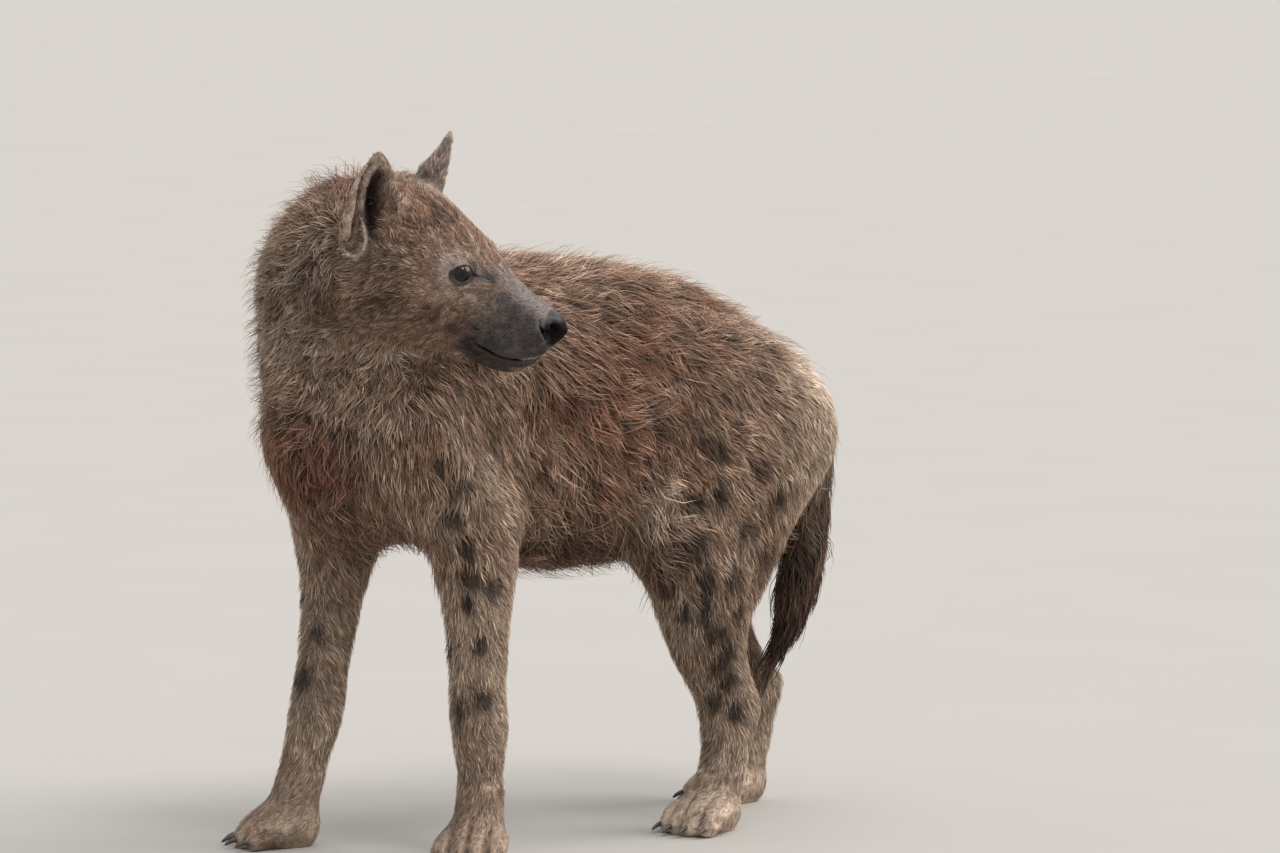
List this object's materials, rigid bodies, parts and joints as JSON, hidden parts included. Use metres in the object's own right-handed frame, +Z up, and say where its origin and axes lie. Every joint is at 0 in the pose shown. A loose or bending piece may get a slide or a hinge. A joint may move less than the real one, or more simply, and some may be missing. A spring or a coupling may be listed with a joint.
{
  "type": "spotted hyena",
  "caption": "Standing spotted hyena, life size, head turned back over its left shoulder, sloping back, shaggy spotted coat, short dark tail.",
  "frame": {"origin": "on the floor, under the middle of the model's bounding box", "axes": "+Z up from the floor; -Y is the way the body faces, +Y the tail end; +X is the animal's left, the side its head is turned to"},
  "size_m": [0.4776, 0.8756, 0.8939],
  "materials": {
    "coat": "shaggy grey-brown to reddish-brown fur with dark brown spots, paler on the legs, matt",
    "ear_hair": "short grey hair with pale fringed rims, dark inside the cup",
    "tail_hair": "long stringy black-brown hair with reddish edges",
    "dark_hide": "nearly black hide of muzzle, lips and nose, the nose pad moist and finely pebbled",
    "eye": "dark brown wet eyeball, clear glossy surface",
    "horn": "blunt dark horn of the claws, worn paler at the tips"
  },
  "bodies": {
    "root": {"head": "coat", "lower_jaw": "dark_hide", "nose": "dark_hide", "left_ear": "ear_hair", "left_eye": "eye", "right_ear": "ear_hair", "right_eye": "eye", "neck": "coat", "trunk": "coat", "tail": "tail_hair", "left_fore_shoulder": "coat", "left_forearm": "coat", "left_fore_paw": "coat", "left_fore_claw_1": "horn", "left_fore_claw_2": "horn", "left_fore_claw_3": "horn", "left_fore_claw_4": "horn", "right_fore_shoulder": "coat", "right_forearm": "coat", "right_fore_paw": "coat", "right_fore_claw_1": "horn", "right_fore_claw_2": "horn", "right_fore_claw_3": "horn", "right_fore_claw_4": "horn", "left_hind_thigh": "coat", "left_hind_shank": "coat", "left_hind_paw": "coat", "left_hind_claw_1": "horn", "left_hind_claw_2": "horn", "left_hind_claw_3": "horn", "left_hind_claw_4": "horn", "right_hind_thigh": "coat", "right_hind_shank": "coat", "right_hind_paw": "coat", "right_hind_claw_1": "horn", "right_hind_claw_2": "horn", "right_hind_claw_3": "horn", "right_hind_claw_4": "horn"}
  },
  "joints": []
}
